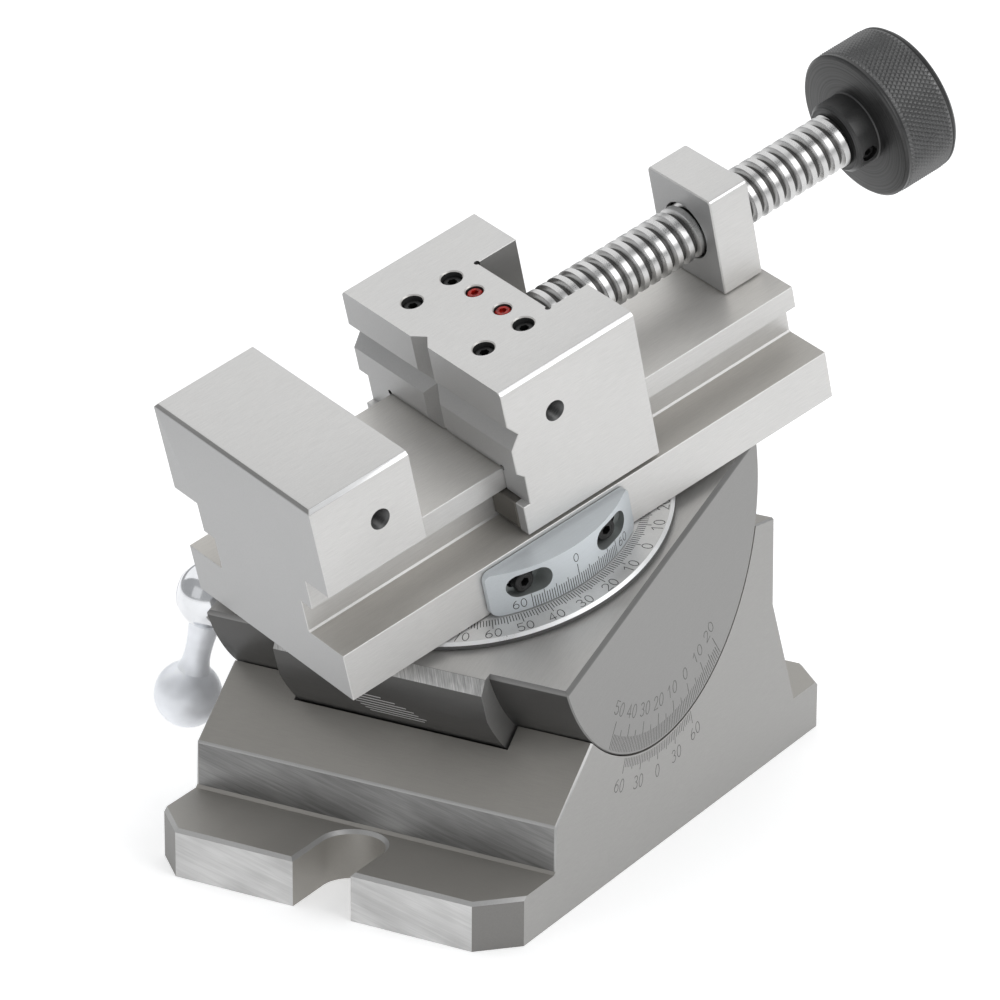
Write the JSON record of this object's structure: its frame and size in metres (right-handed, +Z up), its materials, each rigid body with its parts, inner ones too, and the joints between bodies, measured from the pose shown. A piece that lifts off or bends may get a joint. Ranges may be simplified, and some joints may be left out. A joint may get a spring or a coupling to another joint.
{
  "type": "tilting and swivelling precision vise",
  "caption": "Grinding vise on a graduated rotary table, carried by a tilting rocker in a flanged base block with clamp slots.",
  "frame": {"origin": "middle of the base block's underside", "axes": "+X along the rocker's tilt axis, towards the end face with the degree scale; +Y to the rear; +Z up"},
  "size_m": [0.1663, 0.229, 0.2024],
  "materials": {
    "base": "surface ground with milled flange edges",
    "rocker": "ground, with engraved degree scale",
    "ring": "fine turned, engraved degree scale",
    "vernier": "satin, engraved vernier",
    "vise": "fine ground",
    "spindle": "rolled bright thread",
    "knob": "black oxide, knurled rim",
    "screw": "black oxide",
    "sealed": "red sealing lacquer",
    "chrome": "polished chrome"
  },
  "bodies": {
    "base": {"base": "base"},
    "rocker": {"rocker": "rocker", "scale_ring": "ring", "ring_screw_1": "screw", "ring_screw_2": "screw", "ring_screw_3": "screw", "lever_washer": "screw"},
    "lever": {"clamp_lever": "chrome", "clamp_shaft": "screw"},
    "shoe": {"clamp_shoe": "screw"},
    "vise": {"vise_body": "vise", "vernier_plate": "vernier", "vernier_screw_left": "screw", "vernier_screw_right": "screw", "nut_block": "vise", "nut_screw_left": "screw", "nut_screw_right": "screw", "pivot_post": "screw", "pivot_washer": "screw", "pivot_nut": "screw"},
    "jaw": {"movable_jaw": "vise", "jaw_keeper_left": "vise", "jaw_keeper_right": "vise", "jaw_screw_left_front": "screw", "jaw_screw_left_rear": "screw", "jaw_screw_right_front": "screw", "jaw_screw_right_rear": "screw", "keeper_screw_left_1": "screw", "keeper_screw_left_2": "screw", "keeper_screw_right_1": "screw", "keeper_screw_right_2": "screw", "jaw_pin_left": "sealed", "jaw_pin_right": "sealed"},
    "screw": {"spindle": "spindle", "hand_knob": "knob", "knob_screw": "screw"}
  },
  "joints": [
    {"name": "rocker_tilt", "type": "hinge", "parent": "base", "child": "rocker", "pos_m": [0, -0.0117, 0.087], "axis": [1, 0, 0], "range_deg": [-28, 25]},
    {"name": "table_swivel", "type": "hinge", "parent": "rocker", "child": "vise", "pos_m": [0, -0.01023, 0.08296], "axis": [0, -0.342, 0.9397], "continuous": true},
    {"name": "jaw_slide", "type": "slide", "parent": "vise", "child": "jaw", "axis": [0.3971, 0.8624, 0.3139], "range_m": [-0.03, 0.0435]},
    {"name": "spindle_spin", "type": "hinge", "parent": "jaw", "child": "screw", "pos_m": [0.03972, 0.05843, 0.16265], "axis": [0.3971, 0.8624, 0.3139], "range_deg": [-2705, 3920]},
    {"name": "lever_turn", "type": "hinge", "parent": "rocker", "child": "lever", "pos_m": [-0.065, -0.04578, 0.06076], "axis": [1, 0, 0], "range_deg": [0, 75]},
    {"name": "shoe_slide", "type": "slide", "parent": "rocker", "child": "shoe", "axis": [0, -0.342, 0.9397], "range_m": [0, 0.00101]}
  ],
  "couplings": [
    {"joint": "spindle_spin", "follows": "jaw_slide", "rad_per_m": 1570.8},
    {"joint": "shoe_slide", "follows": "lever_turn", "m_per_rad": 0.000764}
  ]
}
